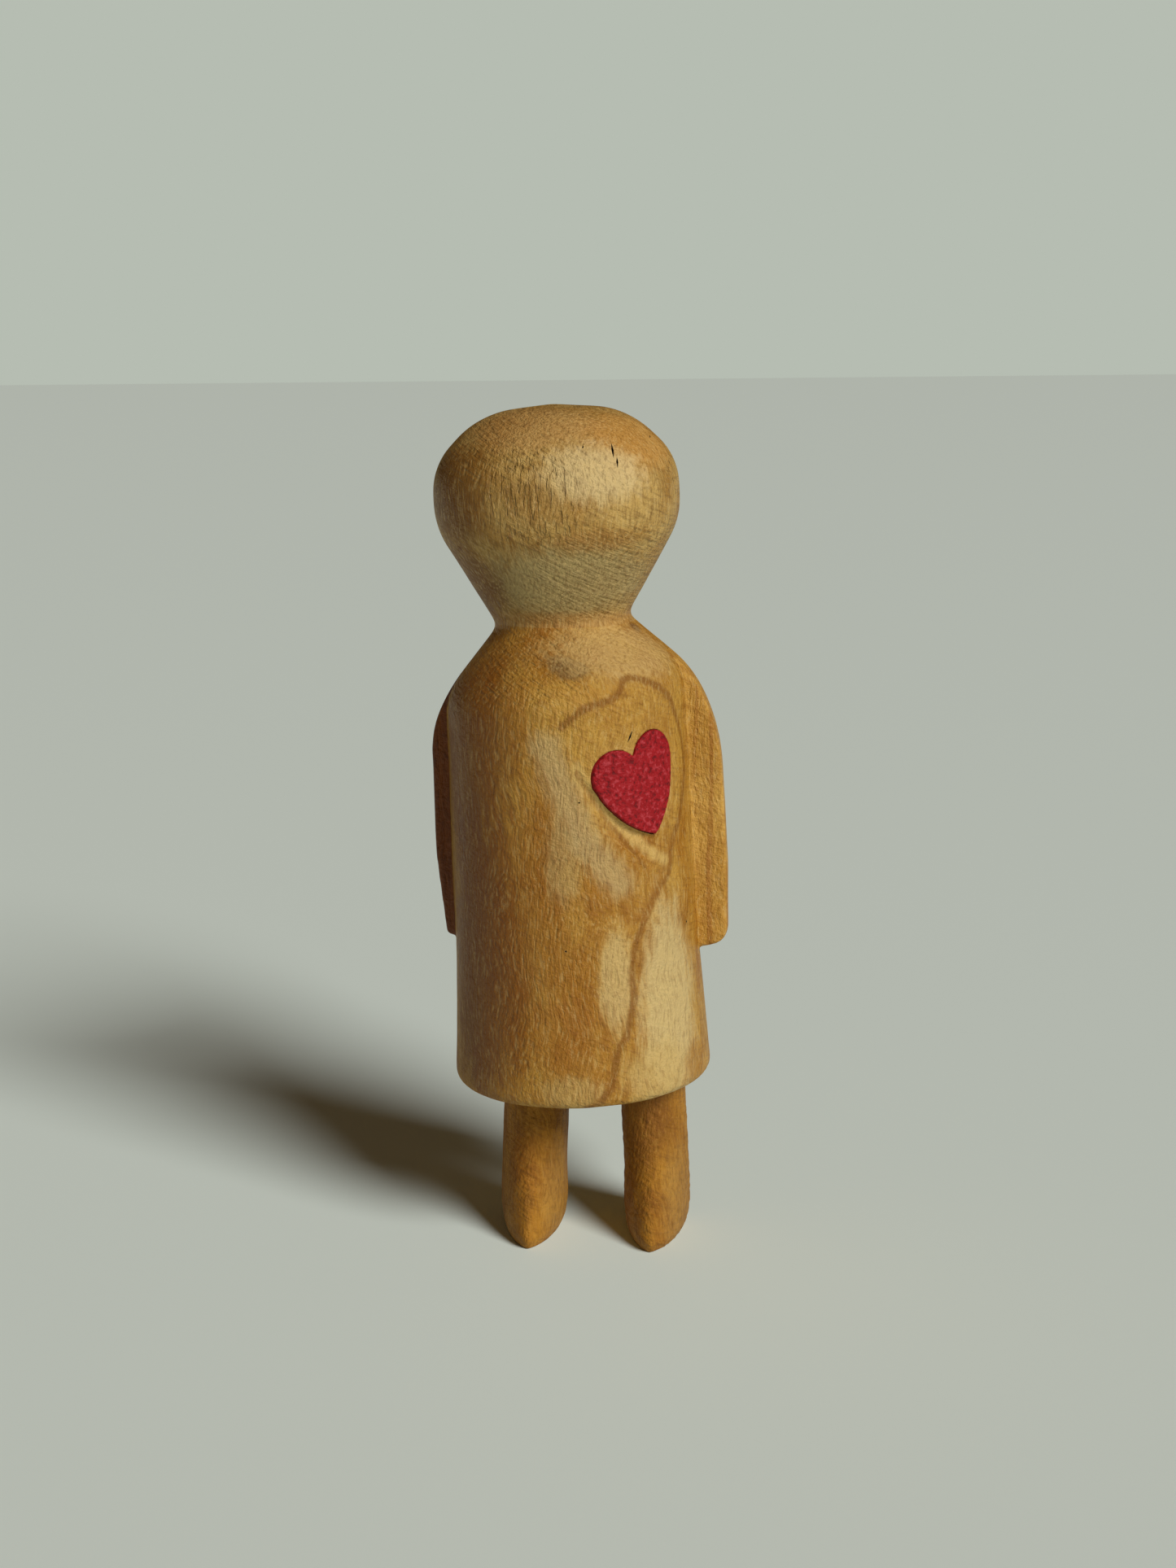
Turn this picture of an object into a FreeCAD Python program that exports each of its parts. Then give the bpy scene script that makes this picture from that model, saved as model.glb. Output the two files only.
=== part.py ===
"""Carved wooden figurine: a faceless standing figure in a long coat, with a red heart let into the chest.

Millimetres, +Z up. The figure faces -Y, so its own left side is +X. The soles stand on Z = 0, and the
origin is under the middle of the overall box. Every piece is glued: the head, the legs and the arms sit
on hidden dowels, and the heart fills a pocket cut in the coat.

The coat, head, arms and heart are drawn in the body frame: its Z axis is the coat's own axis, and its
origin is the middle of the hem. in_body_place() sets that frame on the legs, leaning a little.
"""

import FreeCAD, Part
import math
import os
from FreeCAD import Placement, Rotation, Vector

# Overall sizes
LEG_LENGTH = 39.4  # floor to the hem
COAT_HEIGHT = 110.8  # hem to the neck joint
HEAD_HEIGHT = 49.9  # neck joint to the crown

# Coat
HEM_RADIUS = 31.1
HEM_ROUNDING = 2.4
WAIST_RADIUS = 29.4  # where the flare of the skirt begins
WAIST_HEIGHT = 30.0  # above the hem
WAIST_ROUNDING = 90.0
SHOULDER_RADIUS = 28.1
SHOULDER_ROUNDING = 16.0
SHOULDER_ANGLE = 43.0  # degrees between the shoulder's slope and the coat's axis
NECK_RADIUS = 15.4

# Head
HEAD_RADIUS = 28.6
CROWN_RADIUS = 17.2  # where the nearly flat crown turns down
CROWN_DROP = 1.6  # how far it has fallen by there
CROWN_ROUNDING = 31.0
TEMPLE_HEIGHT = 36.7  # above the neck joint
TEMPLE_ROUNDING = 15.4
CHEEK_ROUNDING = 18.5
JAW_ANGLE = 30.0  # degrees between the jaw's cone and the head's axis

# How the body stands on its legs
BODY_LEAN = 2.0  # degrees, towards the figure's right
BODY_SHIFT = -2.7  # the hem's middle from the middle between the legs, along X

# Arms: slats let into housings in the coat's sides, faired into the shoulders
ARM_SINK = 3.6  # how deep the housing's floor lies inside the shoulder radius
ARM_FRONT = -3.0  # Y of the arm's front face
ARM_DEPTH = 19.0  # front face to back face
ARM_SPLAY = 0.8  # how far the outer face slopes out from the shoulder to the wrist
ARM_SHOULDER_ROUNDING = 38.0
WRIST_RISE = 22.0  # the arm narrows below this height over its end
WRIST_ROUNDING = 50.0
ARM_END_RISE = 2.0  # how much higher the arm's outer corner ends than its inner one
LEFT_ARM_PROUD = 8.9  # how far the arm stands out past the shoulder radius
LEFT_ARM_END = 30.2  # height of the arm's end above the hem
LEFT_WRIST_TAPER = 0.6
LEFT_HAND_ROUNDING = 4.5
RIGHT_ARM_PROUD = 5.0
RIGHT_ARM_END = 33.6
RIGHT_WRIST_TAPER = 1.5
RIGHT_HAND_ROUNDING = 0.8

# Legs and shoes, one piece of wood each
LEG_RADIUS = 7.9  # at the hem
HIP_SPREAD = 14.0  # leg axis from the middle, at the hem
FOOT_SPREAD = 15.2  # leg axis from the middle, at the ankle
SHOE_HALF_WIDTH = 8.1
HEEL_REACH = 8.8  # heel behind the leg's axis
TOE_REACH = 20.0  # toe tip in front of the leg's axis
INSTEP_HEIGHT = 15.0  # where the leg starts to narrow towards the hem
TOE_IN = 1.5  # degrees that each toe points towards the other

# Heart inlay
HEART_WIDTH = 20.4
HEART_HEIGHT = 21.4
HEART_LOBE_DROP = 7.0  # widest point below the top of the lobes
HEART_CLEFT = 3.4  # bottom of the cleft below the top of the lobes
HEART_BULGE = 1.9  # how far each lower side bows outwards
HEART_AZIMUTH = 41.5  # degrees from the chest's front towards the left arm
HEART_BELOW_NECK = 37.3  # middle of the heart below the neck joint
HEART_TILT = 16.0  # degrees that the tip swings towards the left arm
HEART_PROUD = 0.6  # its face above the coat's surface
HEART_SINK = 4.2  # pocket's floor below the coat's surface
HEART_GAP = 0.12  # round the heart in its pocket

# Knife cut that eases the coat's surface down to the heart's lower edge
PARING_DEPTH = 1.2  # at the heart's edge
PARING_WIDTH = 5.5  # from the heart's edge outwards
PARING_LENGTH = 34.0  # along the edge

# Dowels and their blind bores
GLUE_CLEARANCE = 0.05  # between a dowel and its bore, on the radius
END_GAP = 0.5  # between a dowel's far end and the end of its bore
NECK_DOWEL_RADIUS = 5.0
NECK_BORE_DEPTH = 16.0  # in the coat and in the head
ARM_DOWEL_RADIUS = 2.5
ARM_BORE_DEPTH = 9.0  # in the coat
ARM_DOWEL_COVER = 3.4  # wood left outside the lower bore in the arm
ARM_UPPER_BORE_DEPTH = 4.0  # into the arm from its housing, where the shoulder thins it
ARM_LOWER_DOWEL_RISE = 18.0  # lower dowel above the arm's end
ARM_UPPER_DOWEL_DROP = 23.0  # upper dowel below the neck joint
LEG_DOWEL_RADIUS = 3.0
LEG_BORE_DEPTH = 13.0  # in the coat and in the leg

# Sizes that follow from the ones above
NECK_HEIGHT = COAT_HEIGHT  # of the joint, in the body frame
ARM_SEAT = SHOULDER_RADIUS - ARM_SINK  # the housing's floor, from the coat's axis
ARM_MIDDLE = ARM_FRONT + ARM_DEPTH / 2
SIDES = {"left": 1, "right": -1}
LEVELS = ("lower", "upper")
ARMS = {
    "left": (LEFT_ARM_PROUD, LEFT_ARM_END, LEFT_WRIST_TAPER, LEFT_HAND_ROUNDING),
    "right": (RIGHT_ARM_PROUD, RIGHT_ARM_END, RIGHT_WRIST_TAPER, RIGHT_HAND_ROUNDING),
}
FAR = 4 * HEM_RADIUS  # a length that reaches past the whole coat
X, Y, Z = Vector(1, 0, 0), Vector(0, 1, 0), Vector(0, 0, 1)


def box(x, y, z):
    """A box from three (low, high) pairs."""
    sizes = [high - low for low, high in (x, y, z)]
    return Part.makeBox(*sizes, Vector(x[0], y[0], z[0]))


def in_body_place(shape):
    """The shape, carried from the body frame to its place on the legs."""
    lean = Rotation(Y, -BODY_LEAN)
    placed = shape.copy()
    placed.Placement = Placement(Vector(BODY_SHIFT, 0, LEG_LENGTH), lean).multiply(placed.Placement)
    return placed


def slope_height(radius, from_radius, angle):
    """Height that a cone at this angle to the axis gains between two radii."""
    return (radius - from_radius) / math.tan(math.radians(angle))


def turned(corners):
    """A solid of revolution about Z. Each corner is (radius, height) or (radius, height, rounding)."""
    points = [Vector(c[0], 0, c[1]) for c in corners]
    edges, loose_end = [], points[0]
    for i, corner in enumerate(corners):
        rounding = corner[2] if len(corner) > 2 else 0
        start, end = points[i], points[i]
        if rounding:
            before = (points[i - 1] - points[i]).normalize()
            after = (points[i + 1] - points[i]).normalize()
            half = before.getAngle(after) / 2
            runs = [points[i].distanceToPoint(points[j]) for j in (i - 1, i + 1)]
            wall = 0.48 * min(runs)
            cut = min(rounding / math.tan(half), wall)
            start, end = points[i] + before * cut, points[i] + after * cut
            centre = points[i] + (before + after).normalize() * (cut / math.cos(half))
            middle = centre + (points[i] - centre).normalize() * (cut * math.tan(half))
        if i and loose_end.distanceToPoint(start) > 1e-6:
            edges.append(Part.LineSegment(loose_end, start).toShape())
        if rounding:
            edges.append(Part.Arc(start, middle, end).toShape())
        loose_end = end
    edges.append(Part.LineSegment(loose_end, points[0]).toShape())
    face = Part.Face(Part.Wire(edges))
    return face.revolve(Vector(0, 0, 0), Z, 360)


def coat_form(grow=0.0):
    """The coat's outside, or the same form with every radius larger."""
    shoulder_corner = NECK_HEIGHT - slope_height(SHOULDER_RADIUS, NECK_RADIUS, SHOULDER_ANGLE)
    return turned(
        [
            (0, 0),
            (HEM_RADIUS + grow, 0, HEM_ROUNDING),
            (WAIST_RADIUS + grow, WAIST_HEIGHT, WAIST_ROUNDING),
            (SHOULDER_RADIUS + grow, shoulder_corner, SHOULDER_ROUNDING),
            (NECK_RADIUS + grow, NECK_HEIGHT),
            (0, NECK_HEIGHT),
        ]
    )


def arm_blank(side):
    """The space of one arm's slat, from the housing's floor outwards and up past the shoulder."""
    low = ARMS[side][1]
    blank = box((ARM_SEAT, FAR), (ARM_FRONT, ARM_FRONT + ARM_DEPTH), (low, NECK_HEIGHT))
    return blank if side == "left" else blank.mirror(Vector(0, 0, 0), X)


def arm_form(side):
    """A turned form whose outside is one arm's outer face and the shoulder over it."""
    proud, low, taper, rounding = ARMS[side]
    reach = SHOULDER_RADIUS + proud
    shoulder = reach - ARM_SPLAY
    shoulder_corner = NECK_HEIGHT - slope_height(shoulder, NECK_RADIUS, SHOULDER_ANGLE)
    return turned(
        [
            (0, low),
            (ARM_SEAT, low),
            (reach - taper, low + ARM_END_RISE, rounding),
            (reach, low + WRIST_RISE, WRIST_ROUNDING),
            (shoulder, shoulder_corner, ARM_SHOULDER_ROUNDING),
            (NECK_RADIUS, NECK_HEIGHT),
            (0, NECK_HEIGHT),
        ]
    )


def heart_half(sign):
    """Points of one half of the upright heart: cleft, lobe top, widest point, middle of the lower side, tip."""
    top, half = HEART_HEIGHT / 2, HEART_WIDTH / 2
    cleft = Vector(0, 0, top - HEART_CLEFT)
    lobe = Vector(sign * half / 2, 0, top)
    side = Vector(sign * half, 0, top - HEART_LOBE_DROP)
    tip = Vector(0, 0, -top)
    outward = Vector(sign * (side.z - tip.z), 0, -half).normalize()
    bow = (side + tip) * 0.5 + outward * HEART_BULGE
    return cleft, lobe, side, bow, tip


def heart_prism(grow=0.0):
    """A heart-shaped prism that points out of the chest, from the pocket's floor outwards."""
    edges = []
    for sign in SIDES.values():
        cleft, lobe, side, bow, tip = heart_half(sign)
        edges.append(Part.Arc(cleft, lobe, side).toShape())
        edges.append(Part.Arc(side, bow, tip).toShape())
    wire = Part.Wire(Part.sortEdges(edges)[0])
    if grow:
        wire = wire.makeOffset2D(grow)
    prism = Part.Face(wire).extrude(Vector(0, -FAR, 0))
    prism.rotate(Vector(0, 0, 0), Y, -HEART_TILT)
    prism.translate(Vector(0, HEART_SINK - SHOULDER_RADIUS, NECK_HEIGHT - HEART_BELOW_NECK))
    prism.rotate(Vector(0, 0, 0), Z, HEART_AZIMUTH)
    return prism


def paring():
    """The knife's cut along the heart's lower right edge: a flat that dips towards the heart."""
    tilt = Rotation(Y, -HEART_TILT)
    side, bow, tip = [tilt.multVec(point) for point in heart_half(SIDES["right"])[2:]]
    fall = math.degrees(math.atan2(side.z - tip.z, tip.x - side.x))
    dip = math.degrees(math.atan2(PARING_DEPTH, PARING_WIDTH))
    cutter = box((-PARING_LENGTH / 2, PARING_LENGTH / 2), (-FAR, 0), (-PARING_WIDTH, HEART_BULGE))
    cutter.rotate(Vector(0, 0, 0), X, -dip)
    cutter.rotate(Vector(0, 0, 0), Y, fall)
    cutter.translate(Vector(0, PARING_DEPTH - SHOULDER_RADIUS, NECK_HEIGHT - HEART_BELOW_NECK + bow.z))
    round_chest = math.degrees(math.asin(bow.x / SHOULDER_RADIUS))
    cutter.rotate(Vector(0, 0, 0), Z, HEART_AZIMUTH + round_chest)
    return cutter


def neck_bore():
    """The bore that the neck dowel fills, through the joint, in the body frame."""
    start = Vector(0, 0, NECK_HEIGHT - NECK_BORE_DEPTH)
    return Part.makeCylinder(NECK_DOWEL_RADIUS, 2 * NECK_BORE_DEPTH, start, Z)


def arm_bore(side, level, clearance=0.0, end_gap=0.0):
    """The bore of one arm dowel, in the body frame; the dowel is the same with its clearances."""
    proud, low = ARMS[side][:2]
    height = {"lower": low + ARM_LOWER_DOWEL_RISE, "upper": NECK_HEIGHT - ARM_UPPER_DOWEL_DROP}[level]
    sign = SIDES[side]
    into_arm = {"lower": ARM_SINK + proud - ARM_DOWEL_COVER, "upper": ARM_UPPER_BORE_DEPTH}[level]
    length = ARM_BORE_DEPTH + into_arm
    start = Vector(sign * (ARM_SEAT - ARM_BORE_DEPTH), ARM_MIDDLE, height)
    return Part.makeCylinder(ARM_DOWEL_RADIUS - clearance, length - end_gap, start, X * sign)


def leg_bore(side, clearance=0.0, end_gap=0.0):
    """The upright bore through a leg's joint with the coat; the dowel is the same with its clearances."""
    start = Vector(SIDES[side] * HIP_SPREAD, 0, LEG_LENGTH - LEG_BORE_DEPTH)
    return Part.makeCylinder(LEG_DOWEL_RADIUS - clearance, 2 * LEG_BORE_DEPTH - end_gap, start, Z)


def torso():
    solid = coat_form()
    for side in SIDES:
        solid = solid.cut(arm_blank(side))
        for level in LEVELS:
            solid = solid.cut(arm_bore(side, level))
    solid = solid.cut(heart_prism(HEART_GAP)).cut(paring()).cut(neck_bore())
    solid = in_body_place(solid)
    for side in SIDES:
        solid = solid.cut(leg_bore(side))
    return solid


def head():
    jaw_top = NECK_HEIGHT + slope_height(HEAD_RADIUS, NECK_RADIUS, JAW_ANGLE)
    crown = NECK_HEIGHT + HEAD_HEIGHT
    solid = turned(
        [
            (0, NECK_HEIGHT),
            (NECK_RADIUS, NECK_HEIGHT),
            (HEAD_RADIUS, jaw_top, CHEEK_ROUNDING),
            (HEAD_RADIUS, NECK_HEIGHT + TEMPLE_HEIGHT, TEMPLE_ROUNDING),
            (CROWN_RADIUS, crown - CROWN_DROP, CROWN_ROUNDING),
            (0, crown),
        ]
    )
    return in_body_place(solid.cut(neck_bore()))


def neck_dowel():
    start = Vector(0, 0, NECK_HEIGHT - NECK_BORE_DEPTH)
    radius = NECK_DOWEL_RADIUS - GLUE_CLEARANCE
    return in_body_place(Part.makeCylinder(radius, 2 * NECK_BORE_DEPTH - END_GAP, start, Z))


def arm(side):
    solid = arm_form(side).common(arm_blank(side))
    for level in LEVELS:
        solid = solid.cut(arm_bore(side, level))
    return in_body_place(solid)


def arm_dowel(side, level):
    return in_body_place(arm_bore(side, level, GLUE_CLEARANCE, END_GAP))


def leg_section(x, height, half_width, heel, toe, point):
    """A level section of a leg: round at the heel, drawn out at the toe to a tip that point sharpens."""
    outline = []
    for step in range(24):
        turn = 2 * math.pi * step / 24
        across, along = math.cos(turn), math.sin(turn)
        if along < 0:
            across = math.copysign(abs(across) ** point, across)
        outline.append(Vector(x + half_width * across, along * (heel if along > 0 else toe), height))
    curve = Part.BSplineCurve()
    curve.interpolate(outline, PeriodicFlag=True)
    return Part.Wire(curve.toShape())


def leg(side):
    sign = SIDES[side]
    ankle = (SHOE_HALF_WIDTH + LEG_RADIUS) / 2
    top = LEG_LENGTH + LEG_RADIUS  # the hem then trims it
    lean = (HIP_SPREAD - FOOT_SPREAD) / (LEG_LENGTH - INSTEP_HEIGHT)
    sections = [
        (0.0, 0.8 * SHOE_HALF_WIDTH, 0.84 * HEEL_REACH, 0.95 * TOE_REACH, 1.45),
        (0.16 * INSTEP_HEIGHT, 0.93 * SHOE_HALF_WIDTH, 0.97 * HEEL_REACH, TOE_REACH, 1.4),
        (0.42 * INSTEP_HEIGHT, SHOE_HALF_WIDTH, HEEL_REACH, 0.92 * TOE_REACH, 1.32),
        (0.75 * INSTEP_HEIGHT, SHOE_HALF_WIDTH, 0.97 * HEEL_REACH, 0.82 * TOE_REACH, 1.25),
        (1.15 * INSTEP_HEIGHT, 0.98 * SHOE_HALF_WIDTH, 0.93 * HEEL_REACH, 0.7 * TOE_REACH, 1.18),
        (0.5 * LEG_LENGTH + 0.4 * INSTEP_HEIGHT, ankle, ankle, 0.55 * TOE_REACH, 1.1),
        (0.9 * LEG_LENGTH, LEG_RADIUS, LEG_RADIUS, 1.15 * LEG_RADIUS, 1.03),
        (top, LEG_RADIUS, LEG_RADIUS, LEG_RADIUS, 1.0),
    ]
    wires = []
    for height, half_width, heel, toe, point in sections:
        x = FOOT_SPREAD + lean * max(0.0, height - INSTEP_HEIGHT)
        wires.append(leg_section(sign * x, height, half_width, heel, toe, point))
    solid = Part.makeLoft(wires, True, True)
    solid.rotate(Vector(sign * FOOT_SPREAD, 0, 0), Z, -sign * TOE_IN)
    over_hem = in_body_place(box((-FAR, FAR), (-FAR, FAR), (0, FAR)))
    return solid.cut(over_hem).cut(leg_bore(side))


def leg_dowel(side):
    return leg_bore(side, GLUE_CLEARANCE, END_GAP)


def heart():
    return in_body_place(heart_prism().common(coat_form(HEART_PROUD)))


def pieces():
    """Every piece by name, in one frame with the middle between the soles at X = 0."""
    made = {"torso": torso(), "head": head(), "neck_dowel": neck_dowel(), "heart": heart()}
    for side in SIDES:
        made[side + "_arm"] = arm(side)
        for level in LEVELS:
            made[side + "_arm_" + level + "_dowel"] = arm_dowel(side, level)
        made[side + "_leg"] = leg(side)
        made[side + "_leg_dowel"] = leg_dowel(side)
    return made


made = pieces()
overall = Part.makeCompound(list(made.values())).optimalBoundingBox(False, False)
to_origin = Vector(-overall.Center.x, -overall.Center.y, 0)
os.makedirs("parts", exist_ok=True)
for name, solid in made.items():
    solid.translate(to_origin)
    solid.exportStep("parts/" + name + ".step")
    print(name, "valid", solid.isValid(), "solids", len(solid.Solids), "volume", round(solid.Volume))
print("moved by", to_origin, "size", overall.XLength, overall.YLength, overall.ZLength)
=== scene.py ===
"""A carved and sanded limewood figurine with a red heart let into its chest."""
import math

import bmesh
import bpy
from mathutils import Matrix, Vector


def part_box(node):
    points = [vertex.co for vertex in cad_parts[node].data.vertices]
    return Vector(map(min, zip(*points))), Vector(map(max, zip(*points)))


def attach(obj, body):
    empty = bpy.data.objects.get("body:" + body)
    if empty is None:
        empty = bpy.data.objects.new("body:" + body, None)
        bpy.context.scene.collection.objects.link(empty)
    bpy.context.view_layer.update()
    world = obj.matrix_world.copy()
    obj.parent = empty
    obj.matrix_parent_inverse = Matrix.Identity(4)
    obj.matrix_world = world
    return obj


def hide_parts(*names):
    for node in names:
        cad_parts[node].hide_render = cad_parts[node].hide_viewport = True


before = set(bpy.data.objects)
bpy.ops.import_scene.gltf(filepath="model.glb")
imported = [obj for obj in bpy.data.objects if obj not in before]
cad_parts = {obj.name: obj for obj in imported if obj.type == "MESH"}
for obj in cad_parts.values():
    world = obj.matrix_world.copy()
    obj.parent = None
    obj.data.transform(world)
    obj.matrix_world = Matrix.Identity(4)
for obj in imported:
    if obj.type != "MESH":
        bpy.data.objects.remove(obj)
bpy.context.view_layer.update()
MM = 0.001

# ---------------------------------------------------------------- small helpers


def srgb(code, alpha=1.0):
    """A hex colour as the linear values that Blender's sockets want."""
    parts = [int(code[i:i + 2], 16) / 255 for i in (1, 3, 5)]
    line = [c / 12.92 if c <= 0.04045 else ((c + 0.055) / 1.055) ** 2.4 for c in parts]
    return (*line, alpha)


def node(tree, kind, inputs=None, **settings):
    """Adds a node with its settings, its values and its links."""
    made = tree.nodes.new(kind)
    for key, value in settings.items():
        setattr(made, key, value)
    for key, value in (inputs or {}).items():
        if isinstance(key, str):
            socket = next(s for s in made.inputs if s.name == key and s.enabled)
        else:
            socket = made.inputs[key]
        if isinstance(value, bpy.types.NodeSocket):
            tree.links.new(value, socket)
        else:
            socket.default_value = value
    return made


def around(middle, bearing, reach=0.0):
    """A point at a bearing in degrees round an upright axis, 0 facing the front."""
    turn = math.radians(bearing)
    return Vector((middle[0] + reach * math.sin(turn), middle[1] - reach * math.cos(turn), 0))


def on_wood(name, bearing, above):
    """The point on a CAD node's skin at a bearing and a height in mm above the hem, and the way
    that the skin faces there, found by a ray from outside."""
    height = coat_low.z + above * MM
    middle = axis_at(height)
    start = around(middle, bearing, 0.2)
    start.z = height
    found, place, normal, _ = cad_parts[name].ray_cast(start, (middle - start).normalized())
    return (place, normal) if found else (middle, Vector((0, -1, 0)))


# ---------------------------------------------------------------- places, from the frame

coat_low, coat_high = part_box("torso")
head_low, head_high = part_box("head")
heart_low, heart_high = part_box("heart")
neck_low, neck_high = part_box("neck_dowel")
hem_middle = Vector(((coat_low.x + coat_high.x) / 2, (coat_low.y + coat_high.y) / 2, coat_low.z + 1 * MM))
neck_middle = (neck_low + neck_high) / 2
heart_middle = (heart_low + heart_high) / 2
HEART_BEARING = 41.5
ARM_HOUSING = 24.5 * MM  # from the body's middle to the flat that the arm is glued on


def axis_at(height):
    """The body's middle at a height, along its lean."""
    share = (height - hem_middle.z) / (neck_middle.z - hem_middle.z)
    return hem_middle.lerp(neck_middle, share)


# ---------------------------------------------------------------- the carver's surface


# lines that wander over the coat: bearing in degrees and height in mm above the hem
LINES = {
    "growth_line": (
        (4, 90.5), (8, 92), (16, 94.5), (27, 95), (33, 96.5), (36, 99.5), (43, 99), (51, 97.5), (63, 94), (68, 90),
        (75, 84), (77, 77), (72, 72), (67, 66), (59, 62), (57, 54), (48, 52), (38, 44), (33, 38), (31, 32), (32, 27),
        (30, 23.5), (27, 18), (22, 15), (21, 10), (17, 4), (8, 1.5),
    ),
    "raw_strip": ((-4, 86), (3, 76), (9, 68), (17, 61), (28, 54)),
    "pared_band": ((10, 81), (18, 74), (30, 67), (46, 60), (53, 58)),
    "pared_edge": ((10, 80), (21, 70), (33, 63), (41, 57)),
    "brown_run": ((60, 62), (52, 56), (44, 49), (36, 44), (30, 47)),
}


def carving_tree():
    """Rounds a blank's edges, leaves the slow waves of hand sanding and the file's marks,
    lifts one shoulder, notes how far each point is from a growth line, and sets the finish."""
    tree = bpy.data.node_groups.new("hand_finished_wood", "GeometryNodeTree")
    face = tree.interface
    sizes = (
        ("Geometry", "NodeSocketGeometry", None),
        ("Rounding Steps", "NodeSocketInt", 6),
        ("Wave Size", "NodeSocketFloat", 14 * MM),
        ("Wave Depth", "NodeSocketFloat", 0.2 * MM),
        ("Tool Mark Spacing", "NodeSocketFloat", 1.2 * MM),
        ("Tool Mark Depth", "NodeSocketFloat", 0.0),
        ("Tool Mark Run", "NodeSocketVector", (0, 0, 1)),
        ("Shoulder Rise", "NodeSocketFloat", 0.0),
        ("Rise Foot", "NodeSocketFloat", 0.1),
        ("Rise Top", "NodeSocketFloat", 0.16),
        ("Axis", "NodeSocketFloat", 0.0),
        ("Neck Height", "NodeSocketFloat", 0.15),
        ("Neck Steps", "NodeSocketInt", 0),
        ("Seed", "NodeSocketFloat", 1.0),
        *((name, "NodeSocketObject", None) for name in LINES),
        ("Finish", "NodeSocketMaterial", None),
    )
    for name, kind, value in sizes:
        made = face.new_socket(name, in_out="INPUT", socket_type=kind)
        if value is not None:
            made.default_value = value
    face.new_socket("Geometry", in_out="OUTPUT", socket_type="NodeSocketGeometry")
    given = node(tree, "NodeGroupInput").outputs
    place = node(tree, "GeometryNodeInputPosition").outputs[0]
    normal = node(tree, "GeometryNodeInputNormal").outputs[0]

    soft = node(tree, "GeometryNodeBlurAttribute",
                {"Value": place, "Iterations": given["Rounding Steps"]}, data_type="FLOAT_VECTOR")
    rounded = node(tree, "GeometryNodeSetPosition",
                   {"Geometry": given["Geometry"], "Position": next(o for o in soft.outputs if o.enabled)})
    parts = node(tree, "ShaderNodeSeparateXYZ", {0: place}).outputs
    from_neck = node(tree, "ShaderNodeMath", {0: parts["Z"], 1: given["Neck Height"]}, operation="SUBTRACT").outputs[0]
    from_neck = node(tree, "ShaderNodeMath", {0: from_neck}, operation="ABSOLUTE").outputs[0]
    at_neck = node(tree, "ShaderNodeMapRange",
                   {"Value": from_neck, "From Min": 2 * MM, "From Max": 9 * MM, "To Min": 1.0, "To Max": 0.0},
                   interpolation_type="SMOOTHSTEP").outputs[0]
    eased = node(tree, "GeometryNodeBlurAttribute",
                 {"Value": place, "Iterations": given["Neck Steps"], "Weight": at_neck}, data_type="FLOAT_VECTOR")
    rounded = node(tree, "GeometryNodeSetPosition",
                   {"Geometry": rounded.outputs[0], "Position": next(o for o in eased.outputs if o.enabled)})

    finer = node(tree, "ShaderNodeMath", {0: 1.0, 1: given["Wave Size"]}, operation="DIVIDE").outputs[0]
    waves = node(tree, "ShaderNodeTexNoise",
                 {"Vector": place, "W": given["Seed"], "Scale": finer, "Detail": 1.5},
                 noise_dimensions="4D").outputs["Fac"]
    swell = node(tree, "ShaderNodeMath", {0: waves, 1: 0.6}, operation="SUBTRACT").outputs[0]
    sunk = node(tree, "ShaderNodeMath", {0: swell, 1: given["Wave Depth"]}, operation="MULTIPLY").outputs[0]
    along = node(tree, "ShaderNodeVectorMath", {0: place, 1: given["Tool Mark Run"]},
                 operation="DOT_PRODUCT").outputs["Value"]
    strokes = node(tree, "ShaderNodeMath", {0: along, 1: given["Tool Mark Spacing"]}, operation="DIVIDE").outputs[0]
    sway = node(tree, "ShaderNodeMath", {0: waves, 1: 9.0, 2: strokes}, operation="MULTIPLY_ADD").outputs[0]
    ridge = node(tree, "ShaderNodeMath", {0: sway, 1: 1.0}, operation="PINGPONG").outputs[0]
    marks = node(tree, "ShaderNodeMath", {0: ridge, 1: given["Tool Mark Depth"]}, operation="MULTIPLY").outputs[0]
    depth = node(tree, "ShaderNodeMath", {0: sunk, 1: marks}, operation="ADD").outputs[0]
    inward = node(tree, "ShaderNodeMath", {0: depth, 1: -1.0}, operation="MULTIPLY").outputs[0]
    push = node(tree, "ShaderNodeVectorMath", {0: normal, "Scale": inward}, operation="SCALE").outputs[0]
    worked = node(tree, "GeometryNodeSetPosition", {"Geometry": rounded.outputs[0], "Offset": push})

    for name in LINES:
        path = node(tree, "GeometryNodeObjectInfo", {"Object": given[name]}).outputs["Geometry"]
        near = node(tree, "GeometryNodeProximity", {0: path}, target_element="EDGES").outputs["Distance"]
        worked = node(tree, "GeometryNodeStoreNamedAttribute",
                      {"Geometry": worked.outputs[0], "Name": "from_" + name, "Value": near},
                      data_type="FLOAT", domain="POINT")

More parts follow.
